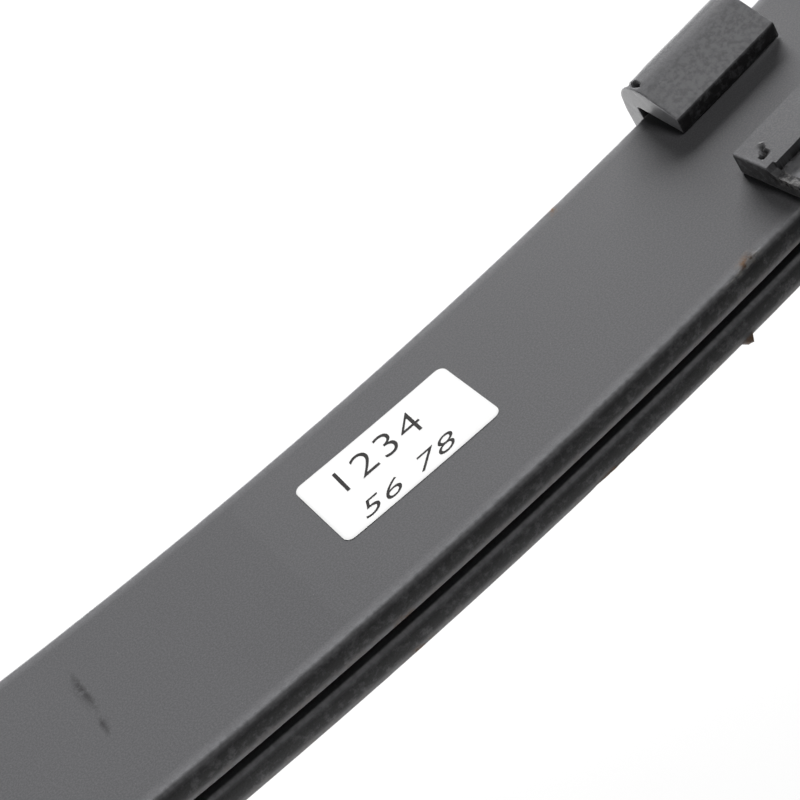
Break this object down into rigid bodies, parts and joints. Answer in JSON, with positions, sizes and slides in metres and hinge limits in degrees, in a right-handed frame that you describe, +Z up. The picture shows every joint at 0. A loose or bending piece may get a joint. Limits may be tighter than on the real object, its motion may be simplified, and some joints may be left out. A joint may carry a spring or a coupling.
{
  "type": "leaf spring",
  "caption": "Arched leaf spring: full-length leaves over a short helper leaf, rolled eyes with rubber bushes, rebound clips with folded tabs and a centre bolt.",
  "frame": {"origin": "on the centre bolt's axis, at the bottom face of the helper leaf, where the axle's spring pad sits", "axes": "+X along the spring to the front eye, +Y across the leaves, +Z up, away from the axle"},
  "size_m": [1.4695, 0.0962, 0.26],
  "materials": {
    "leaf_paint": "satin dark grey spring paint with fine grain, dust and worn edges",
    "clip_paint": "satin dark grey paint over bent strap, bright where the press tool tore it",
    "spacer_steel": "dark grey paint, scuffed",
    "fastener_zinc": "zinc plated steel",
    "bush_steel": "phosphated steel tube",
    "bush_rubber": "moulded rubber",
    "pad_rubber": "moulded rubber",
    "pad_plastic": "matt black plastic",
    "label_paper": "satin white label with dark printed figures"
  },
  "bodies": {
    "centre": {"main_leaf": "leaf_paint", "second_leaf": "leaf_paint", "helper_leaf": "leaf_paint", "leaf_spacer": "spacer_steel", "helper_spacer": "spacer_steel", "centre_bolt": "fastener_zinc", "centre_nut": "fastener_zinc", "label": "label_paper"},
    "front_mid": {"front_helper_pad": "pad_rubber"},
    "front_end": {"front_bush_tube": "bush_steel", "front_bush_rubber": "bush_rubber", "front_tip_pad": "pad_plastic", "front_clip_strap": "clip_paint", "front_clip_rivet": "clip_paint"},
    "front_sleeve": {"front_bush_sleeve": "fastener_zinc"},
    "rear_mid": {"rear_helper_pad": "pad_rubber"},
    "rear_end": {"rear_bush_tube": "bush_steel", "rear_bush_rubber": "bush_rubber", "rear_tip_pad": "pad_plastic", "rear_clip_strap": "clip_paint", "rear_clip_rivet": "clip_paint"},
    "rear_sleeve": {"rear_bush_sleeve": "fastener_zinc"}
  },
  "joints": [
    {"name": "front_flex", "type": "hinge", "parent": "centre", "child": "front_mid", "pos_m": [0.12291, 0, 0.03475], "axis": [0, 1, 0], "range_deg": [-0.5, 5.5], "stiffness_Nm_per_rad": 54000, "deforming": ["main_leaf", "second_leaf", "label"]},
    {"name": "front_flex_outer", "type": "hinge", "parent": "front_mid", "child": "front_end", "pos_m": [0.34263, 0, 0.05802], "axis": [0, 1, 0], "range_deg": [-1, 11]},
    {"name": "front_bush_turn", "type": "hinge", "parent": "front_end", "child": "front_sleeve", "pos_m": [0.67379, 0, 0.19301], "axis": [0, 1, 0], "range_deg": [-20, 20], "stiffness_Nm_per_rad": 60},
    {"name": "rear_flex", "type": "hinge", "parent": "centre", "child": "rear_mid", "pos_m": [-0.12291, 0, 0.03475], "axis": [0, -1, 0], "range_deg": [-0.5, 5.5], "stiffness_Nm_per_rad": 49000, "deforming": ["main_leaf", "second_leaf"]},
    {"name": "rear_flex_outer", "type": "hinge", "parent": "rear_mid", "child": "rear_end", "pos_m": [-0.36986, 0, 0.06308], "axis": [0, -1, 0], "range_deg": [-1, 11]},
    {"name": "rear_bush_turn", "type": "hinge", "parent": "rear_end", "child": "rear_sleeve", "pos_m": [-0.72775, 0, 0.21708], "axis": [0, 1, 0], "range_deg": [-20, 20], "stiffness_Nm_per_rad": 60}
  ],
  "couplings": [
    {"joint": "front_flex_outer", "follows": "front_flex", "ratio": 2},
    {"joint": "rear_flex_outer", "follows": "rear_flex", "ratio": 2}
  ]
}
